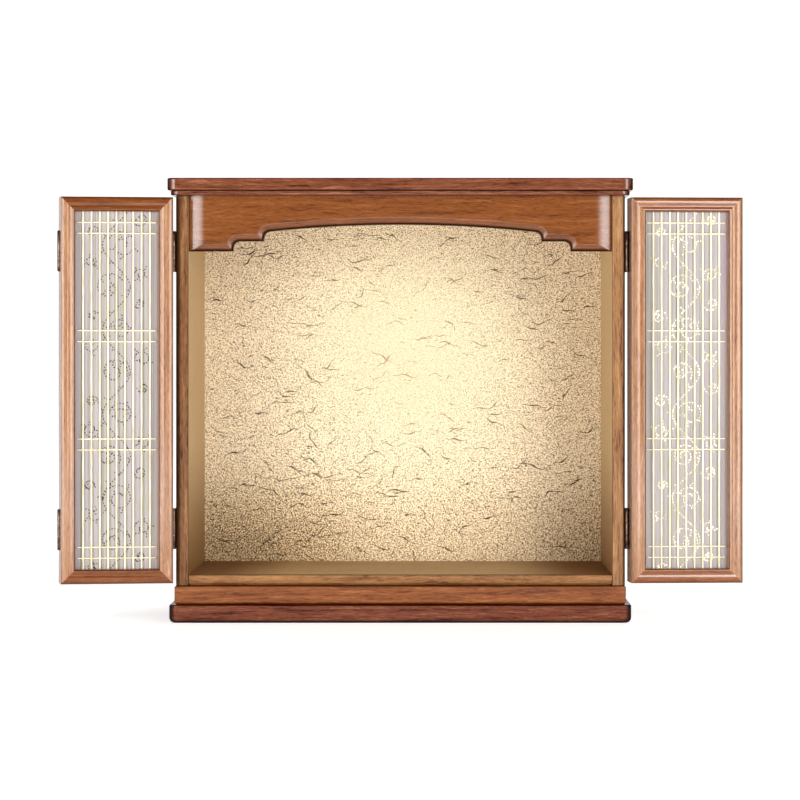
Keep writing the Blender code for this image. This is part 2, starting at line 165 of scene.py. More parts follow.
def lacqueredWood(name):
    wood, look = woods[name], woodLook
    made, tree = newMaterial("satin lacquered stained walnut, " + name)
    place = millimetres(tree)
    stretch = [1.0, 1.0, 1.0]
    stretch[wood["along"]] = look["stretch"]
    bend = addNode(tree, "TexNoise", {"Scale": 1 / look["bendLength"], "Detail": 1.0}, {"Vector": place})
    reach = look["bendReach"] * wood["figure"]
    bent = addNode(
        tree, "VectorMath", {"operation": "MULTIPLY_ADD", 1: (reach, reach, reach)},
        {0: bend.outputs["Color"], 2: place},
    )
    grain = addNode(tree, "VectorMath", {"operation": "MULTIPLY", 1: stretch}, {0: bent})
    fibres = addNode(
        tree, "TexNoise", {"Scale": 1 / look["fibreWidth"], "Detail": 2.0, "Roughness": 0.6},
        {"Vector": grain},
    )
    bands = addNode(
        tree, "TexNoise", {"Scale": 1 / look["bandWidth"], "Detail": 3.0, "Roughness": 0.6},
        {"Vector": grain},
    )
    pores = addNode(tree, "TexNoise", {"Scale": 1 / look["poreWidth"], "Detail": 1.0}, {"Vector": grain})
    tone = addNode(tree, "Mix", {0: look["bandShare"]}, {2: fibres, 3: bands})
    tones = [(0.5 + shift / wood["contrast"], wood[shade]) for shift, shade in look["tones"]]
    colour = addNode(tree, "ValToRGB", {"stops": tones}, {"Fac": tone})
    poreMask = addNode(tree, "ValToRGB", {"stops": look["poreShades"]}, {"Fac": pores})
    tintedAndShaded = addNode(tree, "Mix", {**multiply, 0: 1.0}, {6: colour, 7: poreMask})
    # painted shade towards the case's lower corners
    if name in look["cornerShades"]:
        corner = cornerShadeMask(tree, place, look["shadedCorners"])
        tintedAndShaded = addNode(
            tree, "Mix", {**multiply, 7: linear(look["cornerShades"][name])},
            {0: corner, 6: tintedAndShaded.outputs[2]},
        )
    # painted shade on rounded edges: darker, and with less lacquer to reflect, as they turn from the front
    arris = addNode(tree, "Attribute", {"attribute_name": "arris"})
    withPaintedLight = addNode(
        tree, "Mix", {**multiply, 7: linear(look["arris"])},
        {0: arris.outputs["Fac"], 6: tintedAndShaded.outputs[2]},
    )
    coat = addNode(
        tree, "MapRange", {"To Min": wood["lacquer"], "To Max": look["edgeShadeLacquer"]},
        {"Value": arris.outputs["Fac"]},
    )
    relief = addNode(tree, "Mix", {0: 0.5}, {2: fibres, 3: pores})
    bump = addNode(
        tree, "Bump", {"Strength": look["grainStrength"], "Distance": look["grainDepth"] * mm},
        {"Height": relief},
    )
    shader = addNode(
        tree, "BsdfPrincipled",
        {"Roughness": look["roughness"], "IOR": 1.5, "Specular IOR Level": look["shine"],
         "Coat Roughness": wood["haze"], "Coat IOR": 1.5},
        {"Base Color": withPaintedLight.outputs[2], "Coat Weight": coat, "Normal": bump},
    )
    return finishMaterial(made, shader)


# Handmade style paper with gold leaf, crumpled and pressed flat. Its small facets glitter and
# the sheet throws back a broad glow.
goldLook = {
    # painted light on the facets by their height: the crease tone is painted shade, the crest tone a painted
    # highlight
    "crest": "#FBE9C8", "body": "#E4C698", "creaseShade": "#301A08", "flat": "#C8BC9A",
    "steps": ((0.43, "creaseShade"), (0.48, "body"), (0.525, "crest")),
    "facet": 1.3, "fine": 0.6, "fineShare": 0.25, "depth": 0.4,   # mm, apart from the share
    "roughness": 0.31, "metallic": 0.6,
    "flatCentre": (10.0, 300.0), "flatFrom": 40.0, "flatTo": 180.0, "flatness": 0.3,   # mm, and a share
    # painted shade towards the lower corners: there more of the sheet takes the painted crease shade, and it
    # is tinted darker
    "cornerShadeDepth": 0.06, "cornerShadeTint": "#F2E4CE",
    "shadedCorners": {"centre": 75.0, "sides": (60.0, 260.0), "heights": (45.0, 190.0), "least": 0.35},   # mm
}


def middleDistance(tree, place):
    # how far a point is from the middle of the lining's flat part, in mm
    x, z = goldLook["flatCentre"]
    centre = (x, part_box("back_lining")[0].y / mm, z)
    offset = addNode(tree, "VectorMath", {"operation": "SUBTRACT", 1: centre}, {0: place})
    return addNode(tree, "VectorMath", {"operation": "LENGTH"}, {0: offset})


def goldPaper():
    look = goldLook
    made, tree = newMaterial("crumpled gold leaf paper")
    place = millimetres(tree)
    facets = addNode(
        tree, "TexNoise", {"Scale": 1 / look["facet"], "Detail": 2.0, "Roughness": 0.65, "Distortion": 0.8},
        {"Vector": place},
    )
    fine = addNode(tree, "TexNoise", {"Scale": 1 / look["fine"], "Detail": 1.0}, {"Vector": place})
    height = addNode(tree, "Mix", {0: look["fineShare"]}, {2: facets, 3: fine})
    # painted shade towards the lower corners
    corner = cornerShadeMask(tree, place, look["shadedCorners"])
    cornerShaded = addNode(
        tree, "Math", {"operation": "MULTIPLY_ADD", 1: -look["cornerShadeDepth"]}, {0: corner, 2: height},
    )
    steps = [(step, look[shade]) for step, shade in look["steps"]]
    colour = addNode(tree, "ValToRGB", {"stops": steps}, {"Fac": cornerShaded})
    # towards the middle the painted crease shade and crest highlights give way to the even flat tone
    reach = middleDistance(tree, place)
    paintedCreaseShare = addNode(
        tree, "MapRange",
        {"From Min": look["flatFrom"], "From Max": look["flatTo"], "To Min": look["flatness"]},
        {"Value": reach.outputs["Value"]},
    )
    shadedCreases = addNode(tree, "Mix", {"data_type": "RGBA", 6: linear(look["flat"])}, {0: paintedCreaseShare, 7: colour})
    # the tint of the painted corner shade
    cornerShadeTint = addNode(tree, "ValToRGB", {"stops": [(0.0, "#FFFFFF"), (1.0, look["cornerShadeTint"])]}, {"Fac": corner})
    tintedAndShaded = addNode(tree, "Mix", {**multiply, 0: 1.0}, {6: shadedCreases.outputs[2], 7: cornerShadeTint})
    bump = addNode(tree, "Bump", {"Strength": 1.0, "Distance": look["depth"] * mm}, {"Height": height})
    shader = addNode(
        tree, "BsdfPrincipled", {"Roughness": look["roughness"], "Metallic": look["metallic"]},
        {"Base Color": tintedAndShaded.outputs[2], "Normal": bump},
    )
    return finishMaterial(made, shader)


# Long plant fibres laid in the paper under the gold: dull, brown and slightly raised. Towards the
# middle they are painted paler, painted light for the lining's glow there.
fibreLook = {
    "dark": "#140A02", "light": "#3C260E", "glowPale": "#94845E", "roughness": 0.7, "shine": 0.05,
    "glowPaleFrom": 60, "glowPaleTo": 200, "patch": 6,   # mm
}


def barkFibre():
    look = fibreLook
    made, tree = newMaterial("dark bark fibre")
    place = millimetres(tree)
    shade = addNode(tree, "TexNoise", {"Scale": 1 / look["patch"], "Detail": 1.0}, {"Vector": place})
    colour = addNode(
        tree, "ValToRGB", {"stops": [(0.35, look["dark"]), (0.7, look["light"])]}, {"Fac": shade},
    )
    # painted light: paler towards the middle of the lining
    awayFromGlow = addNode(
        tree, "MapRange", {"From Min": look["glowPaleFrom"], "From Max": look["glowPaleTo"]},
        {"Value": middleDistance(tree, place).outputs["Value"]},
    )
    withPaintedLight = addNode(tree, "Mix", {"data_type": "RGBA", 6: linear(look["glowPale"])}, {0: awayFromGlow, 7: colour})
    shader = addNode(
        tree, "BsdfPrincipled", {"Roughness": look["roughness"], "Specular IOR Level": look["shine"]},
        {"Base Color": withPaintedLight.outputs[2]},
    )
    return finishMaterial(made, shader)


# Thin figured gauze over a backing board: fine upright threads, a cool grey with a lilac cast.
# The real threads are near 0.3 mm apart, drawn here at 1.1 mm so that they show.
gauzeLook = {
    "tones": [(0.35, "#808278"), (0.48, "#A59B97"), (0.6, "#9D939D"), (0.7, "#A59B97")],
    "threadPitch": 1.1, "threadRise": 0.08,   # mm
    "bandsPerUnit": 3.1416,                   # about what a wave texture draws at a scale of 1
    "stretch": 0.004, "roughness": 0.6, "sheen": 0.3, "sheenRoughness": 0.4,
}


def figuredGauze():
    look = gauzeLook
    made, tree = newMaterial("figured gauze")
    place = millimetres(tree)
    upright = addNode(
        tree, "VectorMath", {"operation": "MULTIPLY", 1: (1, 0, look["stretch"])}, {0: place},
    )
    stripes = addNode(
        tree, "TexNoise", {"Scale": 1 / (2 * look["threadPitch"]), "Detail": 2.0}, {"Vector": upright},
    )
    scale = 1 / (look["threadPitch"] * look["bandsPerUnit"])
    threads = addNode(
        tree, "TexWave", {"wave_type": "BANDS", "bands_direction": "X", "Scale": scale}, {"Vector": place},
    )
    colour = addNode(tree, "ValToRGB", {"stops": look["tones"]}, {"Fac": stripes})
    bump = addNode(
        tree, "Bump", {"Strength": 0.25, "Distance": look["threadRise"] * mm}, {"Height": threads},
    )
    shader = addNode(
        tree, "BsdfPrincipled",
        {"Roughness": look["roughness"], "Sheen Weight": look["sheen"],
         "Sheen Roughness": look["sheenRoughness"]},
        {"Base Color": colour, "Normal": bump},
    )
    return finishMaterial(made, shader)


# Flat metallic thread, floated over the gauze in short stitches. Its light and shade are painted:
# it is painted bright on the right doors and dark on the left ones.
threadLitAndShaded = {
    "left": [(0.42, "#1E1A10"), (0.62, "#6A5F3C")], "right": [(0.42, "#BDB084"), (0.62, "#FBF4DC")],
    "patch": 3, "roughness": 0.4, "metallic": 0.6,   # patch in mm
}


def litOrShadedThread(side):
    look = threadLitAndShaded
    made, tree = newMaterial("flat gold thread, " + side)
    place = millimetres(tree)
    shade = addNode(tree, "TexNoise", {"Scale": 1 / look["patch"], "Detail": 2.0}, {"Vector": place})
    colour = addNode(tree, "ValToRGB", {"stops": look[side]}, {"Fac": shade})
    shader = addNode(
        tree, "BsdfPrincipled", {"Roughness": look["roughness"], "Metallic": look["metallic"]},
        {"Base Color": colour},
    )
    return finishMaterial(made, shader)


# Split pale cedar slats with a thin clear finish: creamy, nearly even, with faint long fibres.
slatLook = {
    "warm": "#C6B684", "pale": "#F6EFD2", "fibreWidth": 0.8, "stretch": 0.05,   # mm, and across over along
    "roughness": 0.4,
}


def paleCedar():
    look = slatLook
    made, tree = newMaterial("clear finished pale cedar")
    place = millimetres(tree)
    grain = addNode(tree, "VectorMath", {"operation": "MULTIPLY", 1: (1, 1, look["stretch"])}, {0: place})
    fibres = addNode(tree, "TexNoise", {"Scale": 1 / look["fibreWidth"], "Detail": 2.0}, {"Vector": grain})
    colour = addNode(
        tree, "ValToRGB", {"stops": [(0.3, look["warm"]), (0.6, look["pale"])]}, {"Fac": fibres},
    )
    shader = addNode(
        tree, "BsdfPrincipled", {"Roughness": look["roughness"], "IOR": 1.5}, {"Base Color": colour},
    )
    return finishMaterial(made, shader)


# Dark bronze plating on pressed steel, rubbed lighter and smoother in patches.
bronzeLook = {"dark": "#3C2A24", "rubbed": "#80695A", "patch": 5, "roughness": (0.22, 0.42)}   # patch in mm


def darkBronze():
    look = bronzeLook
    made, tree = newMaterial("dark bronze plating")
    place = millimetres(tree)
    wear = addNode(
        tree, "TexNoise", {"Scale": 1 / look["patch"], "Detail": 4.0, "Roughness": 0.65},
        {"Vector": place},
    )
    colour = addNode(
        tree, "ValToRGB", {"stops": [(0.35, look["dark"]), (0.7, look["rubbed"])]}, {"Fac": wear},
    )
    low, high = look["roughness"]
    gloss = addNode(tree, "MapRange", {"To Min": low, "To Max": high}, {"Value": wear})
    shader = addNode(tree, "BsdfPrincipled", {"Metallic": 1.0}, {"Base Color": colour, "Roughness": gloss})
    return finishMaterial(made, shader)


finishes = {name: lacqueredWood(name) for name in woods}
finishes["gold"] = goldPaper()
finishes["fibre"] = barkFibre()
finishes["gauze"] = figuredGauze()
# a painted-shade copy of the thread for the left doors and a painted-light copy for the right
finishes["leftThread"] = litOrShadedThread("left")
finishes["rightThread"] = litOrShadedThread("right")
finishes["cedar"] = paleCedar()
finishes["bronze"] = darkBronze()
print("materials made:", len(finishes))


# which faces take the painted edge shade: the widest face of a rounding in mm, and how straight a
# flat face's normal is
edgeShadeFaces = {"width": 1.2, "flat": 0.9985}


def paintEdgeShade(bm, start, full, most):
    # how dark the painted shade on each rounded edge is: from 0 where it has turned start degrees from
    # the front, up to most
    tone = bm.loops.layers.float.new("arris")
    turned = {}
    for face in bm.faces:
        width = min(edge.calc_length() for edge in face.edges)
        narrow = len(face.edges) == 4 and width < edgeShadeFaces["width"] * mm
        if narrow and max(abs(part) for part in face.normal) < edgeShadeFaces["flat"]:
            turned[face] = math.degrees(math.acos(abs(face.normal.y)))
    for face in turned:
        for loop in face.loops:
            near = [turned[other] for other in loop.vert.link_faces if other in turned]
            along = min(1.0, max(0.0, (sum(near) / len(near) - start) / (full - start)))
            loop[tone] = most * along * along * (3 - 2 * along)


def newMesh(name, bm, material):
    mesh = bpy.data.meshes.new(name)
    bm.to_mesh(mesh)
    bm.free()
    mesh.materials.append(material)
    mesh.shade_smooth()
    return mesh


def newObject(name, data):
    made = bpy.data.objects.new(name, data)
    bpy.context.scene.collection.objects.link(made)
    return made


def addPiece(name, bm, finish, body, nodes=(), place=None, smoothAngle=30):
    bmesh.ops.recalc_face_normals(bm, faces=bm.faces)
    if bm.calc_volume(signed=True) < 0:
        bmesh.ops.reverse_faces(bm, faces=bm.faces)
    if finish in woods:
        bm.normal_update()
        # painted shade on the rounded edges of wood
        paintEdgeShade(bm, *woods[finish]["arris"])
    mesh = newMesh(name, bm, finishes[finish])
    mesh.set_sharp_from_angle(angle=math.radians(smoothAngle))
    piece = newObject(name, mesh)
    piece.matrix_world = place or Matrix.Identity(4)
    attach(piece, body)
    if nodes:
        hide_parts(*nodes)
    return piece


def loft(bm, rings, closed=True, capped=True):
    # joins rings of points with faces; capped closes the two ends
    rows = [[bm.verts.new(point) for point in ring] for ring in rings]
    count = len(rows[0])
    for one, other in zip(rows, rows[1:]):
        for i in range(count if closed else count - 1):
            j = (i + 1) % count
            bm.faces.new((one[i], one[j], other[j], other[i]))
    if capped:
        bm.faces.new(rows[0])
        bm.faces.new(rows[-1])
    return rows


roundings = {"step": 0.6 * mm, "flatStart": 0.3 * mm}   # a row past a rounding keeps the flat evenly shaded


def easedEdge(radius):
    # (inset, rise) along a quarter round, from the flat face out to the side
    steps = max(5, round(radius / roundings["step"]))
    turns = [math.radians(90 * i / steps) for i in range(steps + 1)]
    return [(radius * (1 - math.sin(t)), radius * (1 - math.cos(t))) for t in turns]


def stepAside(point, heading):
    turn, step = math.radians(heading), roundings["flatStart"]
    return (point[0] + step * math.cos(turn), point[1] + step * math.sin(turn), point[2])


def roundedRing(low, high, corners, inset, z):
    # a rounded rectangle in plan, moved in by inset; corners: radius at its left and right sides
    ring = []
    steps = max(6, round(max(corners) / roundings["step"]))
    for index, (x, y) in enumerate(((high.x, high.y), (low.x, high.y), (low.x, low.y), (high.x, low.y))):
        reach = max(corners[0 if x == low.x else 1], inset + 0.05 * mm)
        radius = reach - inset
        centreX = x - reach if x == high.x else x + reach
        centreY = y - reach if y == high.y else y + reach
        arc = []
        for i in range(steps + 1):
            turn = math.radians(90 * (index + i / steps))
            arc.append((centreX + radius * math.cos(turn), centreY + radius * math.sin(turn), z))
        first, last = 90 * index, 90 * (index + 1)
        ring.append(stepAside(arc[0], first - 90))
        ring += arc
        ring.append(stepAside(arc[-1], last + 90))
    return ring


def easedBoard(low, high, corner, topRound, bottomRound, rightCorner=None):
    # a board with its upright corners rounded in plan, and its top and bottom edges eased
    corners = (corner, corner if rightCorner is None else rightCorner)
    flatStart = roundings["flatStart"]
    bm = bmesh.new()
    bottom = [(inset, low.z + rise) for inset, rise in easedEdge(bottomRound)]
    top = [(inset, high.z - rise) for inset, rise in reversed(easedEdge(topRound))]
    if high.z - low.z > bottomRound + topRound + 3 * flatStart:
        bottom.append((0.0, low.z + bottomRound + flatStart))
        top.insert(0, (0.0, high.z - topRound - flatStart))
    heights = bottom + top
    loft(bm, [roundedRing(low, high, corners, inset, z) for inset, z in heights])
    return bm


caseBoards = {   # radii in mm of its left corners, right corners, top edge and bottom edge, and its wood
    "base_plate": (9.5, 9.5, 1.6, 6.0, "basePlate"),
    "base_board": (0.8, 0.8, 0.5, 3.0, "plinth"),
    "sill_rail": (0.3, 0.3, 0.8, 3.2, "sill"),
    "floor_board": (0.3, 0.3, 0.2, 0.2, "inside"),
    "side_left": (5.2, 0.9, 0.3, 0.3, "shadedLeftPost"),
    "side_right": (0.9, 3.2, 0.3, 0.3, "litRightPost"),
    "ceiling_board": (0.3, 0.3, 0.2, 0.2, "inside"),
    "back_panel": (0.3, 0.3, 0.2, 0.2, "backBoard"),
    "top_moulding": (8.5, 8.5, 1.0, 1.4, "plates"),
    "top_plate": (9.5, 9.5, 1.4, 1.6, "plates"),
}
otherFaces = {   # a face with a finish of its own: its axis, which way it looks, and its wood
    "side_left": (0, 1, "inside"), "side_right": (0, -1, "inside"), "top_plate": (2, 1, "topFace"),
}


def makeCase():
    for name, (left, right, top, bottom, wood) in caseBoards.items():
        low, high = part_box(name)
        bm = easedBoard(low, high, left * mm, top * mm, bottom * mm, right * mm)
        piece = addPiece("case_" + name, bm, wood, "cabinet", [name])
        if name in otherFaces:
            axis, way, finish = otherFaces[name]
            piece.data.materials.append(finishes[finish])
            for face in piece.data.polygons:
                if face.normal[axis] * way > 0.9:
                    face.material_index = 1


makeCase()
print("case boards made")


# the header: two cusps at each end, a long arch, a rounded lower edge, ends rolled back
header = {
    "endLevel": 405.6, "stepLevel": 416.6, "crown": 434.8, "archRadius": 1384.0,
    "leftCusps": (183.0, 149.3), "rightCusps": (186.5, 154.6), "cuspArc": 6.8,
    "arcRadius": 5.0, "slant": 18.0, "slantWidth": 3.6, "slantStart": 1.2,   # mm, slant in degrees
    "rollRadius": 46.0, "rollWidth": 19.0,
    "endSteps": 24, "cuspSteps": 12, "archSteps": 60, "arcSteps": 10, "slantSteps": 6,
}


def headerHalf(cusps, inset, end):
    # the lower edge from the end to the arch, as (distance from the middle, height) in mm
    outer, inner = cusps
    arc = header["cuspArc"]
    radius = arc + inset
    reach = header["archRadius"] - arc
    tangent = math.asin((inner - arc) / reach)
    spring = header["crown"] - header["archRadius"] + reach * math.cos(tangent)
    low = header["endLevel"] + inset
    steps = header["endSteps"]
    points = [(end + (outer + inset - end) * i / steps, low) for i in range(steps)]
    for cusp, level, centre, last in (
        (outer, header["endLevel"], header["stepLevel"] - arc, math.pi / 2),
        (inner, header["stepLevel"], spring, math.pi / 2 - tangent),
    ):
        first = math.asin(max(0.0, level + inset - centre) / radius)
        middle = cusp - arc
        points.append((middle + radius * math.cos(first), level + inset))
        for i in range(header["cuspSteps"] + 1):
            turn = first + (last - first) * i / header["cuspSteps"]
            points.append((middle + radius * math.cos(turn), centre + radius * math.sin(turn)))
    return points, tangent


def headerEdge(inset, end):
    left, start = headerHalf(header["leftCusps"], inset, end)
    right, stop = headerHalf(header["rightCusps"], inset, end)
    radius = header["archRadius"] + inset
    arch = []
    for i in range(1, header["archSteps"]):
        turn = -start + (start + stop) * i / header["archSteps"]
        height = header["crown"] - header["archRadius"] + radius * math.cos(turn)
        arch.append((radius * math.sin(turn), height))
    return [(-x, z) for x, z in left] + arch + right[::-1]


def rollBack(x, end):
    # how far the face falls back towards an end
    past = abs(x) - (end - header["rollWidth"])
    if past <= 0:
        return 0.0
    return header["rollRadius"] - math.sqrt(header["rollRadius"] ** 2 - past ** 2)


def headerProfile():
    # (inset, depth) from the lower edge up to the flat face: an arc, then a slant with a soft start
    slant = math.radians(header["slant"])
    radius, start = header["arcRadius"], header["slantStart"]
    step = header["slantWidth"] / header["slantSteps"]
    points = []
    for i in range(header["arcSteps"] + 1):
        turn = math.pi / 2 + (slant - math.pi / 2) * i / header["arcSteps"]
        points.append((radius * (1 - math.sin(turn)), -radius * math.cos(turn)))
    for _ in range(header["slantSteps"]):
        inset, depth = points[-1]
        points.append((inset + step, depth - step * math.tan(slant)))
    inset, depth = points[-1]
    for t in (0.33, 0.67, 1.0):
        points.append((inset + start * t, depth - math.tan(slant) * start * (t - t * t / 2)))
    return [(inset, depth - points[-1][1]) for inset, depth in points]


def makeHeader():
    low, high = (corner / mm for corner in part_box("header_board"))
    bm = bmesh.new()
    insets = [(0.0, high.y - low.y)] + headerProfile()
    insets.append((insets[-1][0] + roundings["flatStart"] / mm, 0.0))
    rows = []
    for inset, depth in insets:
        edge = headerEdge(inset, high.x)
        rows.append([(x, low.y + max(depth, rollBack(x, high.x)), z) for x, z in edge])
    face = rows[-1]
    rows.append([(x, y, high.z) for x, y, z in face])
    rows.append([(x, high.y, high.z) for x, y, z in face])
    rows = [[Vector(point) * mm for point in row] for row in rows]
    verts = loft(bm, rows, closed=False, capped=False)
    for i in range(len(verts[0]) - 1):
        bm.faces.new((verts[0][i], verts[0][i + 1], verts[-1][i + 1], verts[-1][i]))
    for i in (0, -1):
        bm.faces.new([row[i] for row in verts])
    bmesh.ops.remove_doubles(bm, verts=bm.verts, dist=0.002 * mm)
    addPiece("shaped_header", bm, "boards", "cabinet", ["header_board"], smoothAngle=35)


makeHeader()
print("header made")


# sizes in mm; slope and bend are the spread of their directions in degrees, waver in radians
fibres = {
    "long": {"count": 210, "length": (10, 42), "width": (1.0, 1.9)},
    "short": {"count": 460, "length": (2, 8), "width": (0.7, 1.6)},
    "lift": 0.12, "sunk": 0.01, "margin": 3, "slope": 24, "bend": 45, "waver": 0.35, "steps": 10, "seed": 7,
}
# mm: how far it runs on behind each side wall, and the rounding of its edges
lining = {"tuck": 0.28, "ease": 0.05}
liningShown = (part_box("floor_board")[1].z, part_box("ceiling_board")[0].z)


def makeLining():
    low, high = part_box("back_lining")
    sideways, ease = Vector((lining["tuck"] * mm, 0, 0)), lining["ease"] * mm
    bm = easedBoard(low - sideways, high + sideways, ease, ease, ease)
    addPiece("gold_lining", bm, "gold", "cabinet", ["back_lining"])
    spread = random.Random(fibres["seed"])
    bm = bmesh.new()
    back, front = low.y - fibres["sunk"] * mm, low.y - fibres["lift"] * mm
    margin = fibres["margin"] * mm
    for size in ("long", "short"):
        for _ in range(fibres[size]["count"]):
            length = spread.triangular(*fibres[size]["length"]) * mm
            width = spread.uniform(*fibres[size]["width"]) * mm
            x = spread.uniform(low.x + margin, high.x - margin - length)
            z = spread.uniform(liningShown[0] + 3 * margin, liningShown[1] - margin)
            turn = math.radians(spread.gauss(0, fibres["slope"]))
            bend = math.radians(spread.gauss(0, fibres["bend"]))
            wave = spread.uniform(0, 6.3)
            rings = []
            steps = fibres["steps"]
            for i in range(steps):
                along = i / (steps - 1)
                heading = turn + bend * (along - 0.5) + fibres["waver"] * math.sin(wave + 9 * along)
                x += length / steps * math.cos(heading)
                z += length / steps * math.sin(heading)
                half = width / 2 * (0.2 + 0.8 * abs(math.sin(wave + 5 * along)) * math.sin(math.pi * along))
                across = (-math.sin(heading) * half, math.cos(heading) * half)
                z = min(max(z, liningShown[0]), liningShown[1])
                rings.append([(x - across[0], back, z - across[1]), (x, front, z),
                              (x + across[0], back, z + across[1])])
            loft(bm, rings)
    addPiece("lining_fibres", bm, "fibre", "cabinet", smoothAngle=60)


makeLining()
print("lining made")


moulding = {   # across a stile or rail, in mm: two soft ridges with a shallow hollow between them
    "ridge": 6.2, "hollow": 9.2, "crest": 13.7, "end": 15.5, "edgeDepth": 2.1, "ridgeDepth": 0.45,
    "hollowDepth": 0.95, "endDepth": 1.0, "sight": 4.5, "sightIn": 0.6, "grooveDepth": 10.3,
    "grooveBottom": 12.8, "grooveWidth": 3.6, "backEase": 0.4,
}
mouldingCurve = {"edgeSteps": 10, "hollowSteps": 8, "sightSteps": 6, "fallPower": 2.2}
slats = {   # mm
    "uprights": 9, "pitch": 9.08, "uprightWidth": 1.7, "crossWidth": 1.2, "crossBehind": 0.25,
    "spacing": 11.9, "pairs": (-176.7, -58.9, 58.9, 176.7), "ease": 0.35,
}
# the right door's rails take the lighter copy, painted light
railWoods = {"left": "rails", "right": "litRightRails"}
leafNames = {
    "left_side_leaf": ("hinge", "fold"), "left_centre_leaf": ("fold", "meeting"),
    "right_side_leaf": ("hinge", "fold"), "right_centre_leaf": ("fold", "meeting"),
}


def leafPlace(leaf):
    # the leaf's own axes as they stand: origin on its joint, its face towards -Y when shut
    side = leaf.split("_")[0]
    swing, fold = joints[side + "_swing"], joints[side + "_fold"]
    turn = -max(swing["range_deg"], key=abs)
    if "centre" not in leaf:
        return Matrix.Translation(swing["pos_m"]) @ Matrix.Rotation(math.radians(turn), 4, "Z")
    turn -= max(fold["range_deg"], key=abs)
    return Matrix.Translation(fold["pos_m"]) @ Matrix.Rotation(math.radians(turn), 4, "Z")


def boxInLeaf(place, *names):
    # lowest and highest corner of CAD nodes, along the leaf's own axes
    inverse = place.inverted()
    points = [inverse @ vert.co for name in names for vert in frame["nodes"][name].data.vertices]
    low = Vector([min(point[i] for point in points) for i in range(3)])
    high = Vector([max(point[i] for point in points) for i in range(3)])
    return low, high


def mitredMember(name, leaf, place, leafBox, side, finish):
    low, high = leafBox
    face = low.y
    section = stileSection(high.y - low.y)
    upright = side in ("left", "right")
    length = high.z - low.z if upright else high.x - low.x

    def put(along, inward, behind):
        if side == "left":
            return (low.x + inward, face + behind, low.z + along)
        if side == "right":
            return (high.x - inward, face + behind, low.z + along)
        if side == "bottom":
            return (low.x + along, face + behind, low.z + inward)
        return (low.x + along, face + behind, high.z - inward)

    bm = bmesh.new()
    rings = [[put(start + sign * u, u, n) for u, n in section] for start, sign in ((0, 1), (length, -1))]
    loft(bm, rings)
    addPiece("moulded_" + name, bm, finish, leaf, [name], place, smoothAngle=28)


def stileSection(thick):
    # (inwards from the outer edge, behind the face) round a stile or rail
    look = {key: value * mm for key, value in moulding.items()}
    ridge, hollow, crest, end = (look[key] for key in ("ridge", "hollow", "crest", "end"))
    fall = look["edgeDepth"] - look["ridgeDepth"]
    points = []
    for i in range(mouldingCurve["edgeSteps"], -1, -1):
        along = i / mouldingCurve["edgeSteps"]
        points.append((ridge * (1 - along), look["ridgeDepth"] + fall * along ** mouldingCurve["fallPower"]))
    steps = mouldingCurve["hollowSteps"]
    for start, stop, high, low in (
        (ridge, hollow, look["ridgeDepth"], look["hollowDepth"]),
        (hollow, crest, look["hollowDepth"], 0.0),
    ):
        for i in range(1, steps + 1):
            eased = (1 - math.cos(math.pi * i / steps)) / 2
            points.append((start + (stop - start) * i / steps, high + (low - high) * eased))
    steps = mouldingCurve["sightSteps"]
    for i in range(1, steps + 1):
        points.append((crest + (end - crest) * i / steps, look["endDepth"] * (i / steps) ** 2))
    inner, ease = end + look["sightIn"], look["backEase"]
    groove, bottom = look["grooveDepth"], look["grooveBottom"]
    back = groove + look["grooveWidth"]
    points += [(inner, look["sight"]), (inner, groove), (bottom, groove), (bottom, back), (inner, back)]
    points += [(inner, thick - ease), (inner - ease, thick), (ease, thick), (0, thick - ease)]
    return points


def slatGrille(leaf, place):
    low, high = boxInLeaf(place, leaf + "_lattice")
    middle = (low + high) / 2
    ease, back = slats["ease"] * mm, high.y
    bm = bmesh.new()

    def bar(start, end, centre, width, upright, front):
        # a slat with its two front edges eased, from start to end
        half = width * mm / 2
        section = [(-half, back), (half, back), (half, front + ease), (half - ease, front),
                   (ease - half, front), (-half, front + ease)]
        if upright:
            rings = [[(centre + u, n, z) for u, n in section] for z in (start, end)]
        else:
            rings = [[(x, n, centre + u) for u, n in section] for x in (start, end)]
        loft(bm, rings)

    front = low.y
    for i in range(slats["uprights"]):
        offset = (i - (slats["uprights"] - 1) / 2) * slats["pitch"] * mm
        bar(low.z, high.z, middle.x + offset, slats["uprightWidth"], True, front)
    for pair in slats["pairs"]:
        for side in (-0.5, 0.5):
            height = middle.z + (pair + side * slats["spacing"]) * mm
            bar(low.x, high.x, height, slats["crossWidth"], False, front + slats["crossBehind"] * mm)
    addPiece(leaf + "_slats", bm, "cedar", leaf, [leaf + "_lattice"], place)


vine = {   # mm, turns in whole turns and leans in degrees
    "rise": 92.0, "sway": 15.0, "step": 1.5, "margin": 1,
    "scroll": {"radius": (12.0, 17.0), "aside": (2, 9), "lean": (-40, 40), "turns": (1.2, 1.7), "eye": 0.25},
    "tendril": {"radius": (6.0, 10.0), "aside": (9, 15), "lean": 100, "turns": (0.8, 1.3), "eye": 0.3,
                "heights": (-17, 14)},
    "leaf": {"radius": 4.5, "share": (0.5, 1.0), "turns": 0.45, "eye": 0.5, "first": 6, "every": 9},
    "curlSteps": 46, "curlPower": 0.9, "stitch": 2.2, "gap": 1.2, "width": 1.25, "lift": 0.12, "sunk": 0.01,
    "border": 5, "longest": 4,
}
# a stitch's outline as shares of its half length and half width, then how far each of its two rings
# is drawn in and whether it is lifted
stitchOutline = ((-1, 0), (-0.6, 1), (0.6, 1), (1, 0), (0.6, -1), (-0.6, -1))
stitchRings = ((1.0, 0), (0.55, 1))


def curl(centreX, centreZ, radius, start, turns, hand, eye):
    # a spiral running inwards from start (degrees), down to eye as a share of its radius
    points = []
    steps = int(vine["curlSteps"] * turns)
    for i in range(steps + 1):
        along = i / steps
        turn = math.radians(start + hand * 360 * turns * along)
        reach = radius * (1 - (1 - eye) * along ** vine["curlPower"])
        points.append((centreX + reach * math.cos(turn), centreZ + reach * math.sin(turn)))
    return points


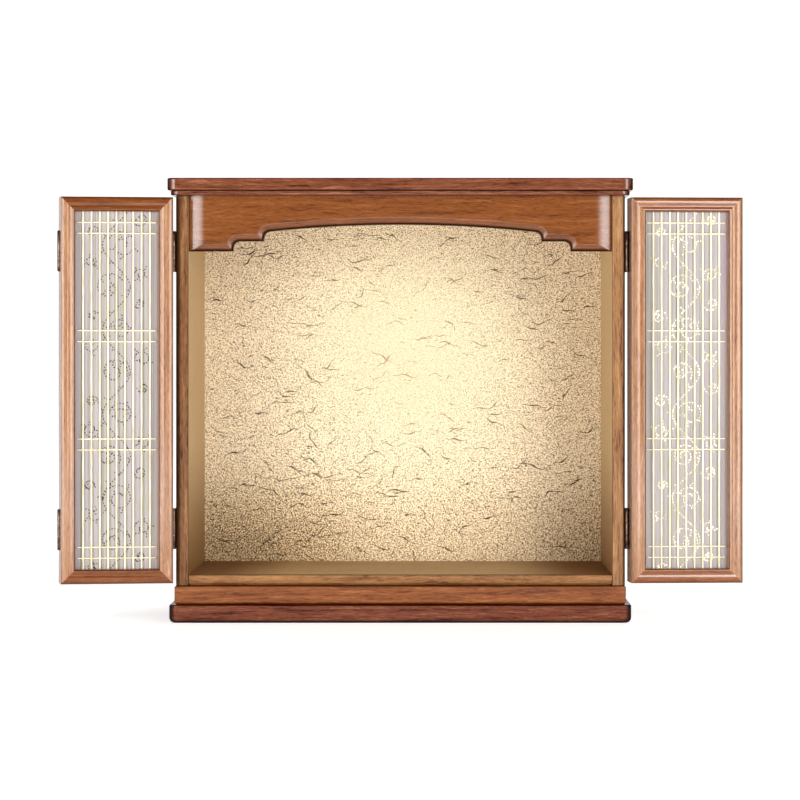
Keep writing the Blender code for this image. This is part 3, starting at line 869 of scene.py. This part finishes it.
def vineLines(width, height, spread):
    # a swaying stem with a scroll in each bend, tendrils outside the bends and small leaf hooks
    steps = int(height / vine["step"])
    phase = spread.uniform(-0.6, 0.6)
    sway = [vine["sway"] * math.sin(2 * math.pi * (i / steps - 0.5) * height / vine["rise"] + phase)
            for i in range(steps + 1)]
    lines = [[(x, height * (i / steps - 0.5)) for i, x in enumerate(sway)]]
    scroll, tendril, leaf = vine["scroll"], vine["tendril"], vine["leaf"]
    bends = int(height / vine["rise"]) + 1
    for k in range(-bends, bends + 1):
        z = (k + 0.5 - phase / math.pi) * vine["rise"] / 2
        side = 1 if k % 2 == 0 else -1
        radius = spread.uniform(*scroll["radius"])
        x = -side * spread.uniform(*scroll["aside"])
        start = 90 - 90 * side + spread.uniform(*scroll["lean"])
        lines.append(curl(x, z, radius, start, spread.uniform(*scroll["turns"]), side, scroll["eye"]))
        for lift in tendril["heights"]:
            x = side * (vine["sway"] + spread.uniform(*tendril["aside"]))
            radius = spread.uniform(*tendril["radius"])
            start = 90 + tendril["lean"] * side
            hand = math.copysign(1, lift) * -side
            turns = spread.uniform(*tendril["turns"])
            lines.append(curl(x, z + lift, radius, start, turns, hand, tendril["eye"]))
    for line in list(lines):
        for i in range(leaf["first"], len(line) - leaf["first"], leaf["every"]):
            x, z = line[i]
            ahead = math.degrees(math.atan2(line[i + 1][1] - z, line[i + 1][0] - x))
            radius = leaf["radius"] * spread.uniform(*leaf["share"])
            hook = curl(0, 0, radius, ahead - 90, leaf["turns"], spread.choice((-1, 1)), leaf["eye"])
            lines.append([(x + px - hook[0][0], z + pz - hook[0][1]) for px, pz in hook])
    acrossEnd, upEnd = width / 2 - vine["margin"], height / 2 - vine["margin"]
    return [[(x, z) for x, z in line if abs(x) < acrossEnd and abs(z) < upEnd] for line in lines]


def stitchLine(bm, line, front, centre):
    # raises a short flat stitch, then skips a gap, all along the line
    travelled, stitch = 0.0, []
    period = vine["stitch"] + vine["gap"]
    for (x0, z0), (x1, z1) in zip(line, line[1:]):
        step = math.hypot(x1 - x0, z1 - z0)
        if step > vine["longest"] or step < 1e-6:   # a longer step is where the edge has cut the line
            continue
        turn = math.atan2(z1 - z0, x1 - x0)
        while travelled < step:
            x = x0 + (x1 - x0) * travelled / step
            z = z0 + (z1 - z0) * travelled / step
            stitch.append((x, z, turn))
            travelled += period
        travelled -= step
    for x, z, turn in stitch:
        dx, dz = math.cos(turn) * vine["stitch"] / 2, math.sin(turn) * vine["stitch"] / 2
        wx, wz = -math.sin(turn) * vine["width"] / 2, math.cos(turn) * vine["width"] / 2
        rim = [(x + a * dx + b * wx, z + a * dz + b * wz) for a, b in stitchOutline]
        rings = []
        for inset, lifted in stitchRings:
            rings.append([
                Vector((centre.x + (x + (px - x) * inset) * mm, front - lifted * vine["lift"] * mm,
                        centre.z + (z + (pz - z) * inset) * mm))
                for px, pz in rim
            ])
        loft(bm, rings)


pane = {"corner": 0.2, "ease": 0.1}   # mm


def gauzePanel(leaf, place, side):
    low, high = boxInLeaf(place, leaf + "_pane")
    corner, ease = pane["corner"] * mm, pane["ease"] * mm
    bm = easedBoard(low, high, corner, ease, ease)
    addPiece(leaf + "_gauze", bm, "gauze", leaf, [leaf + "_pane"], place)
    centre = (low + high) / 2
    bm = bmesh.new()
    spread = random.Random(leaf)
    width, height = (high.x - low.x) / mm - vine["border"], (high.z - low.z) / mm - vine["border"]
    for line in vineLines(width, height, spread):
        stitchLine(bm, line, low.y - vine["sunk"] * mm, centre)
    addPiece(leaf + "_vine", bm, side + "Thread", leaf, (), place, smoothAngle=60)


def makeDoors():
    for leaf, stiles in leafNames.items():
        place = leafPlace(leaf)
        members = [f"{leaf}_stile_{name}" for name in stiles]
        members += [f"{leaf}_rail_{end}" for end in ("bottom", "top")]
        leafBox = boxInLeaf(place, *members)
        middle = (leafBox[0] + leafBox[1]) / 2
        for name in members[:2]:
            low, high = boxInLeaf(place, name)
            side = "left" if (low.x + high.x) / 2 < middle.x else "right"
            mitredMember(name, leaf, place, leafBox, side, "stiles")
        hand = leaf.split("_")[0]
        for name, side in zip(members[2:], ("bottom", "top")):
            mitredMember(name, leaf, place, leafBox, side, railWoods[hand])
        slatGrille(leaf, place)
        gauzePanel(leaf, place, hand)


makeDoors()
print("doors made")


hinge = {   # mm
    "barrel": 2.0, "plate": 0.9, "reach": 13.5, "fit": 0.3, "axisOut": 2.25, "leafGap": 1.0, "clear": 0.1,
    "wrap": 0.8, "plateEnd": 3.0, "plateCorner": 0.6, "plateEase": 0.12, "barrelEase": 0.25,
    "dome": ((0.35, 0.0), (0.8, 0.35), (1.0, 0.9)),   # shares of the barrel's radius, and heights in mm
    "screwRadius": 1.5, "screwLift": 0.22, "screwSpread": 14.5, "screwPlaces": (0.62, 0.42),
    "screwPinch": 0.55, "facets": 24,
}
# a screw head from its rim to its middle, as shares of its radius and of its height
screwRows = ((1.0, -0.3), (1.0, 0.35), (0.8, 0.8), (0.45, 1.0), (0.3, 0.45), (0.12, 0.3))


def knuckle(bm, low, high, radius, domeLow, domeHigh):
    # a rolled barrel with eased ends; a dome where its pin is headed over
    ease = hinge["barrelEase"] * mm
    dome = [(height * mm, radius * share) for share, height in hinge["dome"]]
    rings = [(low, radius - ease), (low + ease, radius), (high - ease, radius), (high, radius - ease)]
    if domeLow:
        rings[0:2] = [(low + rise, r) for rise, r in dome]
    if domeHigh:
        rings[-2:] = [(high - rise, r) for rise, r in reversed(dome)]
    turns = [math.radians(360 / hinge["facets"] * i) for i in range(hinge["facets"])]
    loft(bm, [[(r * math.cos(turn), r * math.sin(turn), z) for turn in turns] for z, r in rings])


def hingeHalf(name, body, place, toward, behind, skin, ends):
    # toward is the side its plate lies on, behind is which way it runs from the pin, and ends says
    # that it owns the two outer knuckles
    low, high = boxInLeaf(place, name)
    barrel, plateThick, fit, clear, reach = (
        hinge[key] * mm for key in ("barrel", "plate", "fit", "clear", "reach")
    )
    wrap, plateEnd, corner, ease = (
        hinge[key] * mm for key in ("wrap", "plateEnd", "plateCorner", "plateEase")
    )
    third = (high.z - low.z) / 3
    inner = skin - plateThick
    bm = bmesh.new()
    xs = sorted((toward * inner, toward * skin))
    spans = (
        (low.z, low.z + third), (low.z + third + fit, high.z - third - fit), (high.z - third, high.z),
    )
    for part, (z0, z1) in enumerate(spans):
        owns = (part != 1) == ends
        if owns:
            knuckle(bm, z0, z1, barrel, ends and part == 0, ends and part == 2)
        ys = sorted((behind * (wrap if owns else barrel + clear), behind * plateEnd))
        bmeshBox(bm, (xs[0], ys[0], z0), (xs[1], ys[1], z1))
    ys = sorted((behind * (barrel + clear), behind * (barrel + reach)))
    plate = easedBoard(Vector((low.z, ys[0], xs[0])), Vector((high.z, ys[1], xs[1])), corner, ease, ease)
    for vert in plate.verts:
        vert.co = (vert.co.z, vert.co.y, vert.co.x)
    mergeInto(bm, plate)
    outer, middle = hinge["screwPlaces"]
    for offset in (-1, 0, 1):
        z = (low.z + high.z) / 2 + offset * hinge["screwSpread"] * mm
        y = behind * (barrel + reach * (outer if offset else middle))
        screwHead(bm, toward * inner, -toward, y, z)
    addPiece(name + "_worked", bm, "bronze", body, [name], place, smoothAngle=40)


def bmeshBox(bm, low, high):
    made = bmesh.ops.create_cube(bm, size=1)["verts"]
    for vert in made:
        vert.co = [(a + b) / 2 + c * (b - a) for a, b, c in zip(low, high, vert.co)]


def mergeInto(bm, other):
    spare = bpy.data.meshes.new("spare")
    other.to_mesh(spare)
    other.free()
    bm.from_mesh(spare)
    bpy.data.meshes.remove(spare)


def screwHead(bm, x, side, y, z):
    # a low domed head with a cross recess suggested by its four lobes
    radius, lift = hinge["screwRadius"] * mm, hinge["screwLift"] * mm
    rings = []
    for r, h in screwRows:
        ring = []
        for i in range(16):
            turn = math.radians(22.5 * i)
            pinch = 1.0 - (hinge["screwPinch"] if r < 0.5 and i % 4 == 2 else 0.0)
            ring.append((x + side * lift * h, y + radius * r * pinch * math.cos(turn),
                         z + radius * r * pinch * math.sin(turn)))
        rings.append(ring)
    loft(bm, rings)


def makeHinges():
    for side, hand in (("left", 1), ("right", -1)):
        swing, fold = joints[side + "_swing"], joints[side + "_fold"]
        sideLeaf, centreLeaf = leafPlace(side + "_side_leaf"), leafPlace(side + "_centre_leaf")
        case = Matrix.Translation(swing["pos_m"])
        foldInLeaf = sideLeaf @ Matrix.Translation(sideLeaf.inverted() @ Vector(fold["pos_m"]))
        skin = (hinge["axisOut"] - hinge["fit"]) * mm
        foldSkin = (hinge["leafGap"] / 2 + hinge["plate"]) * mm
        for level in ("upper", "lower"):
            stem = f"{side}_case_hinge_{level}"
            hingeHalf(stem + "_fixed", "cabinet", case, hand, 1, skin, True)
            hingeHalf(stem + "_moving", side + "_side_leaf", sideLeaf, hand, -1, skin, False)
            stem = f"{side}_fold_hinge_{level}"
            hingeHalf(stem + "_side", side + "_side_leaf", foldInLeaf, -hand, -1, foldSkin, True)
            hingeHalf(stem + "_centre", side + "_centre_leaf", centreLeaf, hand, -1, foldSkin, False)


makeHinges()
print("hinges made")


stage = {   # metres, with the two depths where the sweep's glow changes in mm
    "white": "#D2D0CD", "cool": "#CCCCCD", "glow": 0.66, "backGlow": 0.82,
    "backStart": 600.0, "backEnd": 1800.0, "front": -6.0, "back": 7.0, "half": 14.0, "rise": 5.0,
    "sweep": 1.2, "sweepSteps": 12, "room": "#808080", "roomGlow": 0.3, "lampsAim": 0.25,
}
lights = {
    # degrees right of straight ahead, height, distance, width, height of the box, brightness, and the
    # part of its width over which it fades
    "left softbox": (-40, 0.33, 1.6, 1.5, 0.66, 11.0, 0.8),
    "right softbox": (39, 0.33, 1.63, 1.28, 0.66, 10.5, 0.85),
    "high softbox": (20, 1.1, 2.6, 0.65, 0.8, 13.0, 0.4),
    "low strip": (0, 0.09, 1.3, 1.2, 0.12, 3.2, 0.3),
    "back fill": (165, 3.2, 3.4, 2.5, 2.0, 5.5, 0.2),
    "strip": (-1.0, 0.24, 3.9, 0.25, 0.38, 3.4, 0.2),
}


def makeStage():
    made, tree = newMaterial("matt white sweep")
    tint = addNode(tree, "TexNoise", {"Scale": 2.0})
    colour = addNode(
        tree, "ValToRGB", {"stops": [(0.3, stage["cool"]), (0.7, stage["white"])]}, {"Fac": tint},
    )
    axes = addNode(tree, "SeparateXYZ", {}, {0: millimetres(tree)})
    glow = addNode(
        tree, "MapRange",
        {"From Min": stage["backStart"], "From Max": stage["backEnd"], "To Min": stage["glow"],
         "To Max": stage["backGlow"]},
        {"Value": axes.outputs[1]},
    )
    shader = addNode(
        tree, "BsdfPrincipled", {"Roughness": 0.9, "Emission Color": (1, 1, 1, 1)},
        {"Base Color": colour, "Emission Strength": glow},
    )
    finishMaterial(made, shader)
    back, radius, steps = stage["back"], stage["sweep"], stage["sweepSteps"]
    profile = [(stage["front"], 0.0), (back - radius, 0.0)]
    for i in range(1, steps + 1):
        turn = math.radians(90 * i / steps)
        profile.append((back - radius * (1 - math.sin(turn)), radius * (1 - math.cos(turn))))
    profile.append((back, stage["rise"]))
    bm = bmesh.new()
    loft(bm, [[(x, y, z) for y, z in profile] for x in (-stage["half"], stage["half"])], False, False)
    sweep = newObject("sweep", newMesh("sweep", bm, made))


def fadeAcross(lamp, share):
    # a softbox that dims smoothly to nothing over this share of its width, so its reflection has soft sides
    lamp.use_nodes = True
    tree = lamp.node_tree
    place = addNode(tree, "NewGeometry", {})
    axes = addNode(tree, "SeparateXYZ", {}, {0: place.outputs["Parametric"]})
    offset = addNode(tree, "Math", {"operation": "SUBTRACT", 1: 0.5}, {0: axes})
    away = addNode(tree, "Math", {"operation": "ABSOLUTE"}, {0: offset})
    glow = addNode(
        tree, "MapRange", {**smooth, "From Min": 0.5, "From Max": 0.5 * (1 - share)}, {"Value": away},
    )
    tree.links.new(glow.outputs[0], tree.nodes["Emission"].inputs["Strength"])


def makeLights():
    middle = Vector((0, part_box("side_left")[0].y, stage["lampsAim"]))
    for name, (turn, height, distance, width, tall, glow, fade) in lights.items():
        angle = math.radians(turn)
        place = middle + Vector((distance * math.sin(angle), -distance * math.cos(angle), height - middle.z))
        lamp = bpy.data.lights.new(name, "AREA")
        lamp.shape = "RECTANGLE"
        lamp.size, lamp.size_y = width, tall
        lamp.energy = glow * math.pi * width * tall
        fadeAcross(lamp, fade)
        made = newObject(name, lamp)
        made.location = place
        made.rotation_euler = (middle - place).to_track_quat("-Z", "Y").to_euler()
    world = bpy.data.worlds.new("studio")
    world.use_nodes = True
    background = world.node_tree.nodes["Background"]
    background.inputs["Color"].default_value = linear(stage["room"])
    background.inputs["Strength"].default_value = stage["roomGlow"]
    bpy.context.scene.world = world


view = {   # metres, with lens and sensor in mm and the shift in frame widths
    "distance": 3.903, "x": 0.0412, "height": 0.292, "lens": 160.4, "sensor": 36,
    "shift": (-0.0475, -0.05625), "clipEnd": 60,
}


def makeCamera():
    made = newObject("camera", bpy.data.cameras.new("camera"))
    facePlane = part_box("side_left")[0].y
    made.location = (view["x"], facePlane - view["distance"], view["height"])
    made.rotation_euler = (math.radians(90), 0, 0)
    made.data.sensor_width = view["sensor"]
    made.data.lens = view["lens"]
    made.data.shift_x, made.data.shift_y = view["shift"]
    made.data.clip_end = view["clipEnd"]
    bpy.context.scene.camera = made


makeStage()
makeLights()
makeCamera()
bpy.context.scene.view_settings.view_transform = "Standard"
print("stage, lights and camera made")
